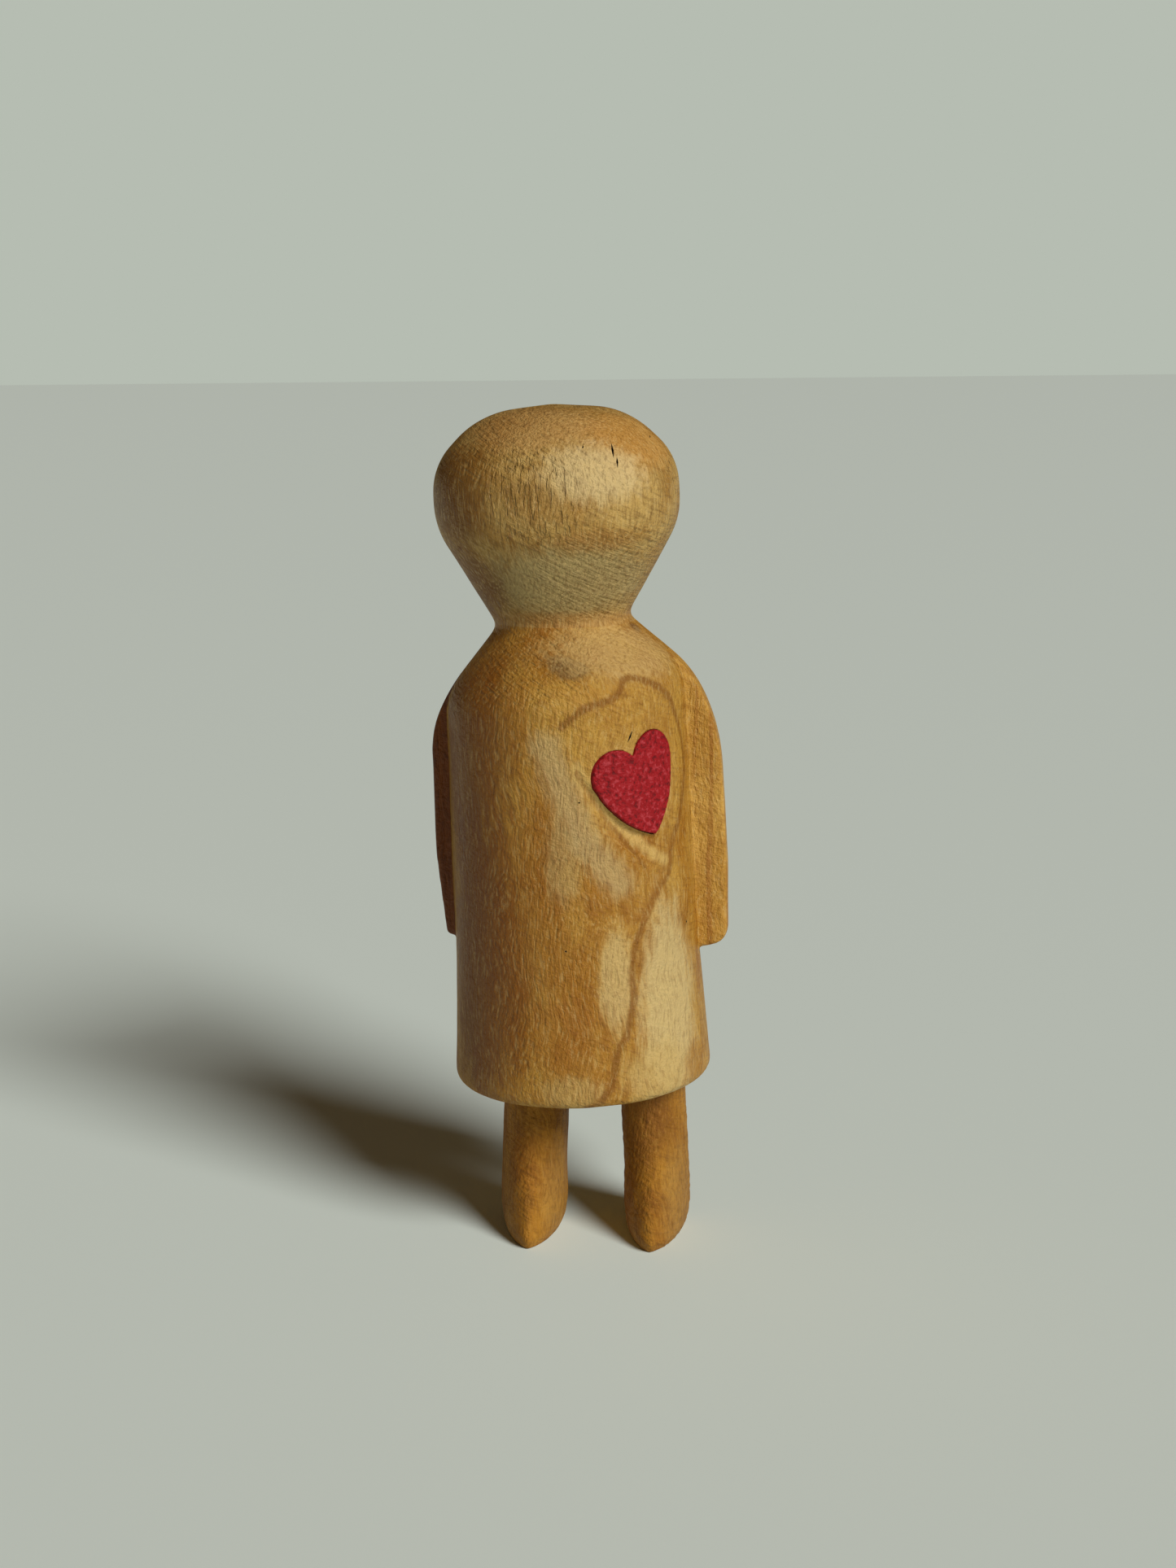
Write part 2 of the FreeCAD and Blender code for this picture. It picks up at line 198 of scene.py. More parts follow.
    from_axis = node(tree, "ShaderNodeMath", {0: parts["X"], 1: given["Axis"]}, operation="SUBTRACT").outputs[0]
    rise_peak = node(tree, "ShaderNodeMath", {0: given["Rise Foot"], 1: given["Rise Top"]}, operation="ADD").outputs[0]
    peak = node(tree, "ShaderNodeMath", {0: rise_peak, 1: 0.5}, operation="MULTIPLY").outputs[0]
    growing = node(tree, "ShaderNodeMapRange",
                   {"Value": parts["Z"], "From Min": given["Rise Foot"], "From Max": peak},
                   interpolation_type="SMOOTHSTEP").outputs[0]
    fading = node(tree, "ShaderNodeMapRange",
                  {"Value": parts["Z"], "From Min": peak, "From Max": given["Rise Top"], "To Min": 1.0, "To Max": 0.0},
                  interpolation_type="SMOOTHSTEP").outputs[0]
    share = node(tree, "ShaderNodeMath", {0: growing, 1: fading}, operation="MULTIPLY").outputs[0]
    slope = node(tree, "ShaderNodeMath", {0: share, 1: given["Shoulder Rise"]}, operation="MULTIPLY").outputs[0]
    lift = node(tree, "ShaderNodeMath", {0: slope, 1: from_axis}, operation="MULTIPLY").outputs[0]
    raised = node(tree, "GeometryNodeSetPosition",
                  {"Geometry": worked.outputs[0], "Offset": node(tree, "ShaderNodeCombineXYZ", {"Z": lift}).outputs[0]})

    whole = node(tree, "GeometryNodeRealizeInstances", {"Geometry": raised.outputs[0]})
    dressed = node(tree, "GeometryNodeSetMaterial", {"Geometry": whole.outputs[0], "Material": given["Finish"]})
    node(tree, "NodeGroupOutput", {"Geometry": dressed.outputs[0]})
    return tree


CARVING = carving_tree()
RISE = {
    "Shoulder Rise": 0.085, "Axis": axis_at(0.135).x,
    "Rise Foot": neck_middle.z - 38 * MM, "Rise Top": neck_middle.z + 14 * MM,
}


def lifted(place):
    """How far the shoulder's rise lifts a point, as the carving tree does it."""
    foot, top = RISE["Rise Foot"], RISE["Rise Top"]
    peak = (foot + top) / 2
    share = 1.0
    for part in ((place.z - foot) / (peak - foot), (top - place.z) / (top - peak)):
        part = min(max(part, 0.0), 1.0)
        share *= part * part * (3 - 2 * part)
    return share * RISE["Shoulder Rise"] * (place.x - RISE["Axis"])


def plain(obj, name):
    """What an object looks like with its modifiers, as a plain mesh in their place."""
    bpy.context.view_layer.update()
    mesh = bpy.data.meshes.new_from_object(obj.evaluated_get(bpy.context.evaluated_depsgraph_get()))
    mesh.name = name
    old = obj.data
    obj.modifiers.clear()
    obj.data = mesh
    if old.users == 0 and isinstance(old, bpy.types.Mesh):
        bpy.data.meshes.remove(old)
    return obj


def blank(name, *sources):
    """A new object with merged copies of CAD nodes' meshes, or of meshes made from them."""
    shape = bmesh.new()
    for mesh in sources:
        shape.from_mesh(mesh)
    bmesh.ops.remove_doubles(shape, verts=shape.verts, dist=0.002 * MM)
    mesh = bpy.data.meshes.new(name)
    shape.to_mesh(mesh)
    shape.free()
    obj = bpy.data.objects.new(name, mesh)
    bpy.context.scene.collection.objects.link(obj)
    return obj


def carve(obj, finish, voxel=None, **sizes):
    """Gives a blank an even mesh and the hand-finished surface."""
    if voxel:
        even = obj.modifiers.new("even_mesh", "REMESH")
        even.mode = "VOXEL"
        even.voxel_size = voxel * MM
        even.use_smooth_shade = True
    work = obj.modifiers.new("hand_finish", "NODES")
    work.node_group = CARVING
    keys = {item.name: item.identifier for item in CARVING.interface.items_tree if item.in_out == "INPUT"}
    for key, value in {**sizes, "Finish": finish}.items():
        work[keys[key]] = value
    return plain(obj, obj.name)


def stretched(mesh, matrix):
    """A copy of a mesh moved by a matrix."""
    new = mesh.copy()
    new.transform(matrix)
    return new


# ---------------------------------------------------------------- finishes


def wood(name, pale, body, deep, **look):
    """Limewood: a pale, close and even hardwood whose figure is soft clouds, short dark
    fibres on the faces along the grain and fine dots where the tool crossed its end."""
    size = {
        "fibre": (0.6, 0.6, 3.4), "flake": (1.6, 1.6, 7.0), "cloud": (10.0, 10.0, 24.0),
        "ring": 7.0, "ring_way": (0.35, -0.93, 0.12), "ring_share": 0.35,
        "fleck": 0.28, "pore": 0.30, "bright": "#DDBE7C", "streak": 0.0, "scratch": 0.9, "roughness": (0.28, 0.52), "relief": 0.10, "marks": (), "lines": (), "torn": None,
    }
    size.update(look)
    material = bpy.data.materials.new(name)
    material.use_nodes = True
    tree = material.node_tree
    tree.nodes.clear()
    metres = node(tree, "ShaderNodeTexCoord").outputs["Object"]
    place = node(tree, "ShaderNodeVectorMath", {0: metres, "Scale": 1000.0}, operation="SCALE").outputs[0]

    wander = node(tree, "ShaderNodeTexNoise", {"Vector": place, "Scale": 1 / 22, "Detail": 2.0}).outputs["Color"]
    centred = node(tree, "ShaderNodeVectorMath", {0: wander, 1: (0.5, 0.5, 0.5)}, operation="SUBTRACT").outputs[0]
    swayed = node(tree, "ShaderNodeVectorMath", {0: centred, 1: (9.0, 9.0, 9.0), 2: place},
                  operation="MULTIPLY_ADD").outputs[0]

    fields = {}
    for field, detail in (("fibre", 3.0), ("flake", 3.0), ("cloud", 4.0)):
        scale = [1 / s for s in size[field]]
        squeezed = node(tree, "ShaderNodeVectorMath", {0: swayed, 1: scale}, operation="MULTIPLY").outputs[0]
        fields[field] = node(tree, "ShaderNodeTexNoise",
                             {"Vector": squeezed, "Scale": 1.0, "Detail": detail, "Roughness": 0.6}).outputs["Fac"]
    turned = node(tree, "ShaderNodeVectorRotate", {"Vector": place, "Rotation": (0.0, math.radians(-28), 0.0)},
                  rotation_type="EULER_XYZ").outputs[0]
    squeezed = node(tree, "ShaderNodeVectorMath", {0: turned, 1: (1 / 6, 1 / 6, 1 / 0.7)},
                    operation="MULTIPLY").outputs[0]
    scratches = node(tree, "ShaderNodeTexNoise", {"Vector": squeezed, "Scale": 1.0, "Detail": 4.0}).outputs["Fac"]
    grain_dots = node(tree, "ShaderNodeTexNoise", {"Vector": place, "Scale": 1 / 0.9, "Detail": 4.0,
                                                   "Roughness": 0.65}).outputs["Fac"]

    across = node(tree, "ShaderNodeVectorMath", {0: swayed, 1: size["ring_way"]},
                  operation="DOT_PRODUCT").outputs["Value"]
    phase = node(tree, "ShaderNodeMath", {0: across, 1: 2 * math.pi / size["ring"]}, operation="MULTIPLY").outputs[0]
    rings = node(tree, "ShaderNodeMath", {0: phase}, operation="SINE").outputs[0]

    # how dark the wood is: slow clouds and rings first, then the flecks and the fibres on them
    tone = node(tree, "ShaderNodeMapRange", {"Value": fields["cloud"], "From Min": 0.30, "From Max": 0.72},
                interpolation_type="SMOOTHSTEP").outputs[0]
    tone = node(tree, "ShaderNodeMath", {0: rings, 1: 0.5 * size["ring_share"], 2: tone},
                operation="MULTIPLY_ADD", use_clamp=True).outputs[0]
    colour = node(tree, "ShaderNodeMix", {"Factor": tone, "A": srgb(pale), "B": srgb(body)},
                  data_type="RGBA").outputs[2]
    squeezed = node(tree, "ShaderNodeVectorMath", {0: place, 1: (1 / 1.6, 1 / 1.6, 1 / 60)},
                    operation="MULTIPLY").outputs[0]
    long_grain = node(tree, "ShaderNodeTexNoise", {"Vector": squeezed, "Scale": 1.0, "Detail": 3.0}).outputs["Fac"]
    layers = (
        (fields["flake"], 0.48, 0.68, size["fleck"], deep),
        (scratches, 0.52, 0.66, 0.9 * size["pore"], deep),
        (long_grain, 0.50, 0.66, size["streak"], "#9A5A1C"),
    )
    for field, low, high, share, tint in layers:
        mask = node(tree, "ShaderNodeMapRange", {"Value": field, "From Min": low, "From Max": high, "To Max": share},
                    interpolation_type="SMOOTHSTEP").outputs[0]
        colour = node(tree, "ShaderNodeMix", {"Factor": mask, "A": colour, "B": srgb(tint)},
                      data_type="RGBA").outputs[2]

    # stains, worked patches, painted shade and painted highlights: a centre and a reach in millimetres, a colour and a
    # strength
    for centre, reach, tint, share in size["marks"]:
        off = node(tree, "ShaderNodeVectorMath", {0: place, 1: [c / MM for c in centre]},
                   operation="SUBTRACT").outputs[0]
        scaled = node(tree, "ShaderNodeVectorMath", {0: off, 1: [1 / r for r in reach]},
                      operation="MULTIPLY").outputs[0]
        far = node(tree, "ShaderNodeVectorMath", {0: scaled}, operation="LENGTH").outputs["Value"]
        ragged = node(tree, "ShaderNodeMath", {0: fields["flake"], 1: 0.9, 2: far}, operation="MULTIPLY_ADD").outputs[0]
        patch = node(tree, "ShaderNodeMapRange",
                     {"Value": ragged, "From Min": 1.55, "From Max": 0.95, "To Max": share},
                     interpolation_type="SMOOTHSTEP").outputs[0]
        colour = node(tree, "ShaderNodeMix", {"Factor": patch, "A": colour, "B": srgb(tint)},
                      data_type="RGBA").outputs[2]
    for line, wide, tint, share in size["lines"]:
        away = node(tree, "ShaderNodeAttribute", attribute_name="from_" + line).outputs["Fac"]
        ragged = node(tree, "ShaderNodeMath", {0: fields["flake"], 1: 0.8 * wide * MM, 2: away},
                      operation="MULTIPLY_ADD").outputs[0]
        band = node(tree, "ShaderNodeMapRange",
                    {"Value": ragged, "From Min": 1.15 * wide * MM, "From Max": 0.55 * wide * MM, "To Max": share},
                    interpolation_type="SMOOTHSTEP").outputs[0]
        colour = node(tree, "ShaderNodeMix", {"Factor": band, "A": colour, "B": srgb(tint)},
                      data_type="RGBA").outputs[2]

    for field, low, high, share, tint in ((fields["fibre"], 0.50, 0.66, size["pore"], deep),
                                          (fields["fibre"], 0.48, 0.34, 0.9 * size["pore"], size["bright"])):
        mask = node(tree, "ShaderNodeMapRange", {"Value": field, "From Min": low, "From Max": high, "To Max": share},
                    interpolation_type="SMOOTHSTEP").outputs[0]
        colour = node(tree, "ShaderNodeMix", {"Factor": mask, "A": colour, "B": srgb(tint)},
                      data_type="RGBA").outputs[2]
    torn = 0.0
    if size["torn"]:
        centre, reach = size["torn"]
        off = node(tree, "ShaderNodeVectorMath", {0: place, 1: [c / MM for c in centre]},
                   operation="SUBTRACT").outputs[0]
        far = node(tree, "ShaderNodeVectorMath", {0: off}, operation="LENGTH").outputs["Value"]
        inside = node(tree, "ShaderNodeMapRange", {"Value": far, "From Min": reach, "From Max": 0.5 * reach},
                      interpolation_type="SMOOTHSTEP").outputs[0]
        squeezed = node(tree, "ShaderNodeVectorMath", {0: place, 1: (1.0, 1.0, 1 / 5)},
                        operation="MULTIPLY").outputs[0]
        pits = node(tree, "ShaderNodeTexNoise", {"Vector": squeezed, "Scale": 1.0, "Detail": 2.0}).outputs["Fac"]
        pits = node(tree, "ShaderNodeMapRange", {"Value": pits, "From Min": 0.53, "From Max": 0.62}).outputs[0]
        torn = node(tree, "ShaderNodeMath", {0: inside, 1: pits}, operation="MULTIPLY").outputs[0]
        share = node(tree, "ShaderNodeMath", {0: torn, 1: 0.28}, operation="MULTIPLY").outputs[0]
        colour = node(tree, "ShaderNodeMix", {"Factor": share, "A": colour, "B": srgb(deep)},
                      data_type="RGBA").outputs[2]
    slope = node(tree, "ShaderNodeNewGeometry").outputs["Normal"]
    tilt = node(tree, "ShaderNodeSeparateXYZ", {0: slope}).outputs["Z"]
    tilt = node(tree, "ShaderNodeMath", {0: tilt}, operation="ABSOLUTE").outputs[0]
    sanded = node(tree, "ShaderNodeMapRange", {"Value": tilt, "From Min": 0.1, "From Max": 0.5,
                                               "To Min": 0.15, "To Max": size["scratch"]}).outputs[0]
    crossing = node(tree, "ShaderNodeMath", {0: scratches, 1: sanded}, operation="MULTIPLY").outputs[0]
    height = node(tree, "ShaderNodeMath", {0: fields["fibre"], 1: 0.55, 2: crossing},
                  operation="MULTIPLY_ADD").outputs[0]
    height = node(tree, "ShaderNodeMath", {0: fields["flake"], 1: 0.5, 2: height}, operation="MULTIPLY_ADD").outputs[0]
    height = node(tree, "ShaderNodeMath", {0: grain_dots, 1: 0.6, 2: height}, operation="MULTIPLY_ADD").outputs[0]
    height = node(tree, "ShaderNodeMath", {0: torn, 1: -0.35, 2: height}, operation="MULTIPLY_ADD").outputs[0]
    bump = node(tree, "ShaderNodeBump", {"Height": height, "Distance": 8 * size["relief"] * MM, "Strength": 1.0})
    low, high = size["roughness"]
    rough = node(tree, "ShaderNodeMapRange", {"Value": height, "From Min": 0.5, "From Max": 1.3,
                                              "To Min": low, "To Max": high}).outputs[0]
    skin = node(tree, "ShaderNodeBsdfPrincipled",
                {"Base Color": colour, "Roughness": rough, "Normal": bump.outputs[0], "IOR": 1.5,
                 "Specular IOR Level": 0.3})
    node(tree, "ShaderNodeOutputMaterial", {"Surface": skin.outputs[0]})
    return material


def painted_wood(name):
    """Red gouache on carved limewood: a deep matt red that the grain breaks into lighter
    specks, a little thinner and pinker on the proud spots."""
    material = bpy.data.materials.new(name)
    material.use_nodes = True
    tree = material.node_tree
    tree.nodes.clear()
    metres = node(tree, "ShaderNodeTexCoord").outputs["Object"]
    place = node(tree, "ShaderNodeVectorMath", {0: metres, "Scale": 1000.0}, operation="SCALE").outputs[0]
    specks = node(tree, "ShaderNodeTexNoise", {"Vector": place, "Scale": 1 / 1.1, "Detail": 3.0,
                                               "Roughness": 0.6}).outputs["Fac"]
    clouds = node(tree, "ShaderNodeTexNoise", {"Vector": place, "Scale": 1 / 5, "Detail": 3.0}).outputs["Fac"]
    colour = node(tree, "ShaderNodeMix", {"Factor": clouds, "A": srgb("#8E0812"), "B": srgb("#A80E1A")},
                  data_type="RGBA").outputs[2]
    for low, high, share, tint in ((0.52, 0.66, 0.6, "#C24650"), (0.48, 0.34, 0.8, "#5E040C")):
        mask = node(tree, "ShaderNodeMapRange", {"Value": specks, "From Min": low, "From Max": high, "To Max": share},
                    interpolation_type="SMOOTHSTEP").outputs[0]
        colour = node(tree, "ShaderNodeMix", {"Factor": mask, "A": colour, "B": srgb(tint)},
                      data_type="RGBA").outputs[2]
    bump = node(tree, "ShaderNodeBump", {"Height": specks, "Distance": 0.6 * MM, "Strength": 1.0})
    skin = node(tree, "ShaderNodeBsdfPrincipled",
                {"Base Color": colour, "Roughness": 0.6, "Normal": bump.outputs[0], "Specular IOR Level": 0.25})
    node(tree, "ShaderNodeOutputMaterial", {"Surface": skin.outputs[0]})
    return material


def wander(name):
    """A smooth line on the coat through a list of bearings and heights, as a mesh of edges."""
    path = bpy.data.curves.new(name, "CURVE")
    path.dimensions = "3D"
    spline = path.splines.new("NURBS")
    spline.points.add(len(LINES[name]) - 1)
    for point, (bearing, above) in zip(spline.points, LINES[name]):
        point.co = (*on_wood("torso", bearing, above)[0], 1)
    spline.order_u = 3
    spline.use_endpoint_u = True
    drawn = bpy.data.objects.new(name, path)
    bpy.context.scene.collection.objects.link(drawn)
    bpy.context.view_layer.update()
    mesh = bpy.data.meshes.new_from_object(drawn.evaluated_get(bpy.context.evaluated_depsgraph_get()))
    bpy.data.objects.remove(drawn)
    line = bpy.data.objects.new(name, mesh)
    bpy.context.scene.collection.objects.link(line)
    return line


# worked and stained patches, with painted shade down the left of the coat and the head and a painted highlight on the
# head: node, bearing, height above the hem, reach in mm, colour, strength
coat_marks_and_painted_shade = [(heart_middle, (14, 14, 14), "#CFAA5E", 0.6)]
for bearing, above, reach, tint, share in (
    # painted shade: the coat's left side, turned away from the lamp, is darkened here
    (-44, 34, (17, 17, 44), "#7A430C", 0.8),
    (-48, 84, (17, 17, 34), "#7E480E", 0.75),
    (-12, 42, (10, 10, 20), "#9A6010", 0.5),
    (-3, 18, (9, 9, 12), "#9C5F0E", 0.55),
    (-10, 66, (7, 8, 10), "#9E661A", 0.4),
    (2, 60, (5, 6, 12), "#BFA468", 0.5),
    (24, 31, (5, 5, 15), "#D2B678", 0.75),
    (52, 24, (11, 11, 30), "#D8C186", 0.8),
    (42, 8, (12, 10, 9), "#CDAE6A", 0.7),
    (2, 5, (9, 9, 5), "#C2A260", 0.6),
    (66, 8, (5, 5, 5), "#A8762A", 0.6),
    (-21, 108, (14, 12, 7), "#9A6820", 0.4),
    (10, 103, (5.5, 5, 3), "#6A4E2A", 0.75),
    (3, 104.5, (4, 4, 2), "#6E522C", 0.6),
    (74, 110, (2.4, 2.4, 2), "#6E4214", 1.0),
    (45, 106, (22, 16, 8), "#CEAC6C", 0.7),
):
    coat_marks_and_painted_shade.append((on_wood("torso", bearing, above)[0], reach, tint, share))
head_marks_and_painted_light = []
for bearing, above, reach, tint, share in (
    (14, 122, (26, 24, 11), "#AC9A68", 0.75),
    (55, 154, (17, 17, 9), "#CC9648", 0.75),
    (-12, 157, (20, 18, 7), "#C09254", 0.6),
    # painted highlight: a pale patch where the lamp glints on the head's front
    (26, 147, (15, 14, 8), "#E2CA92", 0.7),
    (-8, 140, (12, 12, 7), "#B08C4C", 0.5),
    (26, 132, (13, 10, 3), "#A67636", 0.5),
    (10, 112.5, (30, 30, 3), "#B48444", 0.6),
    # painted shade: the head's left side, turned away from the lamp, is darkened here
    (-52, 142, (15, 15, 15), "#80500F", 0.8),
    (-60, 122, (13, 13, 12), "#78480E", 0.8),
):
    head_marks_and_painted_light.append((on_wood("head", bearing, above)[0], reach, tint, share))
leg_marks = []
for name in ("left_leg", "right_leg"):
    low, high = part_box(name)
    leg_marks.append(((high.x, low.y + 8 * MM, 12 * MM), (7, 12, 17), "#B88E46", 0.5))
low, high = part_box("left_leg")
leg_marks.append((((low.x + high.x) / 2 - 2 * MM, -8 * MM, 30 * MM), (9, 9, 14), "#7A4A0C", 0.6))
coat_lines = (("raw_strip", 7.5, "#C8B07A", 0.6), ("growth_line", 1.9, "#865410", 0.75),
              ("brown_run", 3.4, "#A06A1C", 0.6), ("pared_band", 3.0, "#D6B266", 0.8),
              ("pared_edge", 1.2, "#8A5C18", 0.6))
finishes = {
    "coat": wood("limewood_turned_and_oiled_coat", "#C4963E", "#A8701A", "#744008",
                 marks=coat_marks_and_painted_shade, lines=coat_lines),
    "head": wood("limewood_turned_and_oiled_head", "#C8A45C", "#A87A30", "#6E4812", marks=head_marks_and_painted_light,
                 ring=9.0, ring_way=(0.1, -0.75, 0.65), ring_share=0.5, pore=0.4,
                 torn=(on_wood("head", -4, 141)[0], 15)),
    "arm": wood("limewood_split_and_sanded_arm", "#D2A24A", "#BC862C", "#8E5616", streak=0.45, fleck=0.2),
    # painted shade: a darker, redder copy of the arm finish for the arm turned away from the lamp
    "arm_in_painted_shade": wood("limewood_split_and_sanded_dark_arm", "#7E4416", "#6A340C", "#4A2006", streak=0.4, fleck=0.25, bright="#8A4E1C"),
    "leg": wood("limewood_whittled_leg", "#B47E22", "#965F10", "#623A08", bright="#C2923E", roughness=(0.45, 0.65), marks=leg_marks),
    "heart": painted_wood("limewood_carved_and_painted_red"),
    # painted shade: near-black wood on the walls of the cut splits and holes, standing in for the shade deep inside
    # them
    "split": wood("limewood_dark_inside_a_split", "#3A2410", "#2C1A0A", "#1C1006"),
    "dowel": wood("beech_drawn_dowel", "#CFA46C", "#B98A50", "#8E6232"),
}

# ---------------------------------------------------------------- the pieces

scene = bpy.context.scene

meshes = {name: obj.data for name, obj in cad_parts.items()}
facing = around((0, 0), HEART_BEARING, 1.0).normalized()
turn_to_face = facing.to_track_quat("Y", "Z").to_matrix().to_4x4()


def round_heart(wide, proud, deep=1.0):
    """A matrix that widens the heart's outline, moves it along its facing and lengthens it."""
    grow = Matrix.Diagonal((wide, deep, wide, 1))
    spin = turn_to_face @ grow @ turn_to_face.inverted()
    return Matrix.Translation(heart_middle + facing * proud) @ spin @ Matrix.Translation(-heart_middle)


plug = stretched(meshes["heart"], round_heart(1.08, -0.75 * MM))
bridge = bmesh.new()
bmesh.ops.create_cone(bridge, cap_ends=True, segments=64, radius1=15 * MM, radius2=15 * MM, depth=3 * MM,
                      matrix=Matrix.Translation(neck_middle))
bridge_mesh = bpy.data.meshes.new("neck_bridge")
bridge.to_mesh(bridge_mesh)
bridge.free()
lines = {name: wander(name) for name in LINES}
figure = carve(blank("figure", meshes["torso"], plug, bridge_mesh, meshes["head"], meshes["left_arm"],
                     meshes["right_arm"]), finishes["coat"], voxel=0.55,
               **{"Rounding Steps": 3, "Wave Size": 13 * MM, "Wave Depth": 0.35 * MM, "Seed": 3.0,
                  "Neck Height": neck_middle.z, "Neck Steps": 26, **lines, **RISE})


def parted(obj, name, place, way, finish):
    """The part of a closed mesh that lies behind a plane, closed with a flat face where it was cut."""
    shape = bmesh.new()
    shape.from_mesh(obj.data)
    bmesh.ops.bisect_plane(shape, geom=shape.verts[:] + shape.edges[:] + shape.faces[:], dist=0.0,
                           plane_co=place, plane_no=way, clear_outer=True)
    rim = [e for e in shape.edges if e.is_boundary]
    bmesh.ops.holes_fill(shape, edges=rim, sides=0)
    mesh = bpy.data.meshes.new(name)
    shape.to_mesh(mesh)
    shape.free()
    mesh.materials.clear()
    mesh.materials.append(finish)
    new = bpy.data.objects.new(name, mesh)
    scene.collection.objects.link(new)
    return new


def shaped(obj, tool, operation):
    """The object cut by, or kept inside, another closed mesh."""
    work = obj.modifiers.new("cut", "BOOLEAN")
    work.operation = operation
    work.solver = "EXACT"
    work.object = tool
    work.material_mode = "TRANSFER"
    plain(obj, obj.name)


def block(name, low, high):
    """A box between two corners, slanted with the body's lean."""
    lean = (neck_middle.x - hem_middle.x) / (neck_middle.z - hem_middle.z)
    shape = bmesh.new()
    bmesh.ops.create_cube(shape, size=1.0)
    for vert in shape.verts:
        share = vert.co + Vector((0.5, 0.5, 0.5))
        vert.co = Vector(low) + Vector((share.x * (high[0] - low[0]), share.y * (high[1] - low[1]),
                                        share.z * (high[2] - low[2])))
        vert.co.x += hem_middle.x + lean * (vert.co.z - hem_middle.z)
    mesh = bpy.data.meshes.new(name)
    shape.to_mesh(mesh)
    shape.free()
    new = bpy.data.objects.new(name, mesh)
    scene.collection.objects.link(new)
    return new


coat = parted(figure, "coat", neck_middle, Vector((0, 0, 1)), finishes["coat"])
head_block = parted(figure, "head_block", neck_middle, Vector((0, 0, -1)), finishes["head"])
bpy.data.objects.remove(figure)
made = {"coat": coat, "head_block": head_block}
# the figure's right arm takes the copy of the arm finish with painted shade
for name, source, sign, finish in (("arm_on_left", "left_arm", 1, "arm"), ("arm_on_right", "right_arm", -1, "arm_in_painted_shade")):
    low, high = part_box(source)
    reach = sorted((sign * ARM_HOUSING, sign * 0.05))
    room = block("room", (reach[0], low.y - 0.6 * MM, low.z - 0.6 * MM), (reach[1], high.y + 0.6 * MM, high.z + 2 * MM))
    arm = bpy.data.objects.new(name, coat.data.copy())
    scene.collection.objects.link(arm)
    arm.data.name = name
    shaped(arm, room, "INTERSECT")
    arm.data.materials.clear()
    arm.data.materials.append(finishes[finish])
    shaped(coat, room, "DIFFERENCE")
    made[name] = arm
    bpy.data.objects.remove(room)
pocket = blank("heart_pocket", stretched(meshes["heart"], round_heart(1.055, 2.0 * MM, 1.35)))
carve(pocket, finishes["coat"], **{"Rounding Steps": 0, "Wave Depth": 0.0, **RISE})
shaped(coat, pocket, "DIFFERENCE")

# splits, pin holes and slips of the knife: piece, node, bearing, height above the hem, then
# length, width and depth in mm, and the slant from upright in degrees
NICKS = (
    ("head_block", "head", 36.9, 151.8, 4.6, 0.6, 1.6, 14),
    ("head_block", "head", 37.2, 149.2, 3.0, 0.5, 1.3, 12),
    ("head_block", "head", 77.0, 148.4, 1.6, 0.35, 0.8, 10),
    ("head_block", "head", 76.0, 144.6, 1.4, 0.35, 0.8, -5),
    ("head_block", "head", 74.0, 154.2, 1.8, 0.4, 0.8, 60),
    ("head_block", "head", 21.4, 152.6, 0.9, 0.45, 0.8, 20),
    ("coat", "torso", 1.5, 38.8, 0.6, 0.6, 1.5, 0),
    ("coat", "torso", 69.0, 41.4, 0.6, 0.6, 1.5, 0),
    ("coat", "torso", 10.5, 73.3, 0.5, 0.5, 1.5, 0),
    ("coat", "torso", 36.5, 86.9, 3.2, 0.5, 1.2, 28),
)
for piece, source, bearing, above, long, wide, deep, slant in NICKS:
    place, normal = on_wood(source, bearing, above)
    place.z += lifted(place)
    along = Vector((0, 0, 1))
    along = Matrix.Rotation(math.radians(-slant), 3, normal) @ (along - normal * along.dot(normal)).normalized()
    across = normal.cross(along)
    corners = [place + v * MM for v in (along * long / 2, -along * long / 2, across * wide / 2, -across * wide / 2,
                                        normal * deep, -normal * deep)]
    shape = bmesh.new()
    bmesh.ops.convex_hull(shape, input=[shape.verts.new(c) for c in corners])
    bmesh.ops.recalc_face_normals(shape, faces=shape.faces)
    mesh = bpy.data.meshes.new("nick")
    shape.to_mesh(mesh)
    shape.free()
    # the cut's walls take the painted shade of a deep split
    mesh.materials.append(finishes["split"])
    nick = bpy.data.objects.new("nick", mesh)
    scene.collection.objects.link(nick)
    shaped(made[piece], nick, "DIFFERENCE")
    bpy.data.objects.remove(nick)
bpy.data.objects.remove(pocket)

PIECES = (
    ("leg_on_left", "left_leg", "leg", 0.35, {"Rounding Steps": 5, "Wave Size": 6 * MM, "Wave Depth": 0.3 * MM, "Seed": 11.0,
                                             "Tool Mark Depth": 0.15 * MM, "Tool Mark Run": (0.6, 0.3, 0.75)}),
    ("leg_on_right", "right_leg", "leg", 0.35, {"Rounding Steps": 5, "Wave Size": 6 * MM, "Wave Depth": 0.3 * MM, "Seed": 13.0}),
    ("heart_inlay", "heart", "heart", 0.25, {"Rounding Steps": 3, "Wave Size": 4 * MM, "Wave Depth": 0.25 * MM, "Seed": 17.0, **RISE}),
)
for name, source, finish, voxel, sizes in PIECES:
    mesh = stretched(meshes[source], round_heart(1.04, 0.1 * MM)) if source == "heart" else meshes[source]
    made[name] = carve(blank(name, mesh), finishes[finish], voxel, **sizes)
stands_for = {"coat": "torso", "head_block": "head", "arm_on_left": "left_arm", "arm_on_right": "right_arm", **{row[0]: row[1] for row in PIECES}}
for line in lines.values():
    bpy.data.objects.remove(line)

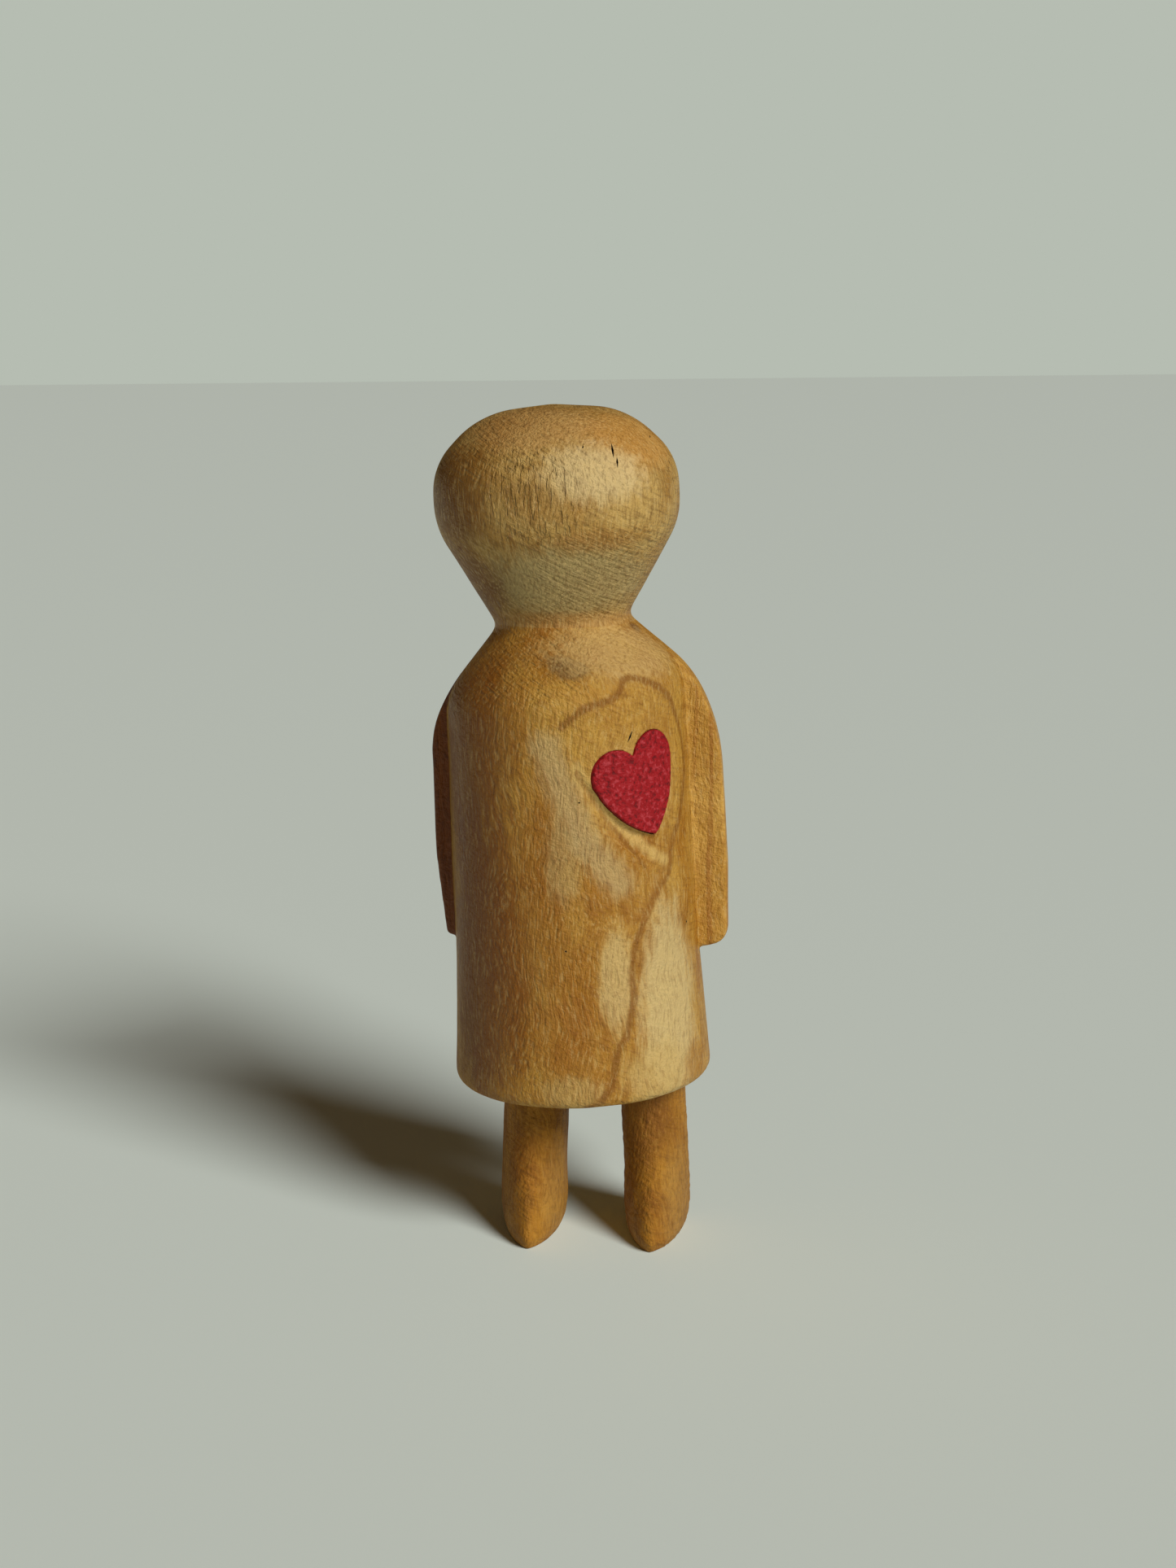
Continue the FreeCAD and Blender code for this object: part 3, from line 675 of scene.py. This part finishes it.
for name, obj in made.items():
    obj.data.shade_smooth()
    obj.data.set_sharp_from_angle(angle=math.radians(38))
    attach(obj, "root")
    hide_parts(stands_for[name])
for name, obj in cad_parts.items():
    if name.endswith("dowel"):
        obj.data.materials.clear()
        obj.data.materials.append(finishes["dowel"])

# ---------------------------------------------------------------- floor, light and camera

floor_mesh = bpy.data.meshes.new("floor")
FLOOR = 20.0
floor_mesh.from_pydata([(-FLOOR, -FLOOR, 0), (FLOOR, -FLOOR, 0), (FLOOR, FLOOR, 0), (-FLOOR, FLOOR, 0)], [], [(0, 1, 2, 3)])
floor = bpy.data.objects.new("floor", floor_mesh)
scene.collection.objects.link(floor)
plaster = bpy.data.materials.new("matt_painted_board")
plaster.use_nodes = True
board = plaster.node_tree.nodes["Principled BSDF"]
board.inputs["Base Color"].default_value = srgb("#E8F7F5")
board.inputs["Roughness"].default_value = 0.9
floor_mesh.materials.append(plaster)

sky = bpy.data.worlds.new("studio")
scene.world = sky
sky.use_nodes = True
tree = sky.node_tree
tree.nodes.clear()
seen = node(tree, "ShaderNodeBackground", {"Color": srgb("#B6BDB2"), "Strength": 1.0}).outputs[0]
lights_up = node(tree, "ShaderNodeBackground", {"Color": srgb("#E8C090"), "Strength": 0.06}).outputs[0]
straight = node(tree, "ShaderNodeLightPath").outputs["Is Camera Ray"]
both = node(tree, "ShaderNodeMixShader", {0: straight, 1: lights_up, 2: seen}).outputs[0]
node(tree, "ShaderNodeOutputWorld", {"Surface": both})


def lamp(name, kind, bearing, height, energy, colour, aim, **settings):
    """A lamp at a bearing and height angle from the figure, turned towards it."""
    data = bpy.data.lights.new(name, kind)
    data.energy = energy
    data.color = srgb(colour)[:3]
    for key, value in settings.items():
        setattr(data, key, value)
    obj = bpy.data.objects.new(name, data)
    rise = math.radians(height)
    way = around((0, 0), bearing, math.cos(rise)).xyz + Vector((0, 0, math.sin(rise)))
    obj.location = aim + way * 1.1
    obj.rotation_euler = way.to_track_quat("Z", "Y").to_euler()
    scene.collection.objects.link(obj)
    return obj


chest = Vector((0, 0, 0.11))
lamp("window", "SUN", 47, 35, 2.8, "#FFFAF2", chest, angle=math.radians(24))
lamp("warm_fill", "AREA", -70, 20, 0.25, "#FFC98F", chest, size=1.0)

camera_data = bpy.data.cameras.new("camera")
camera_data.lens = 50
camera = bpy.data.objects.new("camera", camera_data)
scene.collection.objects.link(camera)
scene.camera = camera
CAMERA_BEARING, CAMERA_DISTANCE, CAMERA_HEIGHT = 6.0, 0.510, 0.2106
CAMERA_DIP, CAMERA_ROLL, CAMERA_ASIDE = 11.1, -0.6, -0.95 * MM
feet_middle = sum((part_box(n)[i].x for n in ("left_leg", "right_leg") for i in (0, 1))) / 4
right = Vector((math.cos(math.radians(CAMERA_BEARING)), math.sin(math.radians(CAMERA_BEARING)), 0))
forward = Vector((-right.y, right.x, 0))
camera.location = Vector((feet_middle, 0, CAMERA_HEIGHT)) + right * CAMERA_ASIDE - forward * CAMERA_DISTANCE
upright = Matrix.Rotation(math.radians(CAMERA_BEARING), 4, "Z") @ Matrix.Rotation(math.radians(90 - CAMERA_DIP), 4, "X")
camera.rotation_euler = (upright @ Matrix.Rotation(math.radians(CAMERA_ROLL), 4, "Z")).to_euler()
scene.view_settings.view_transform = "Standard"
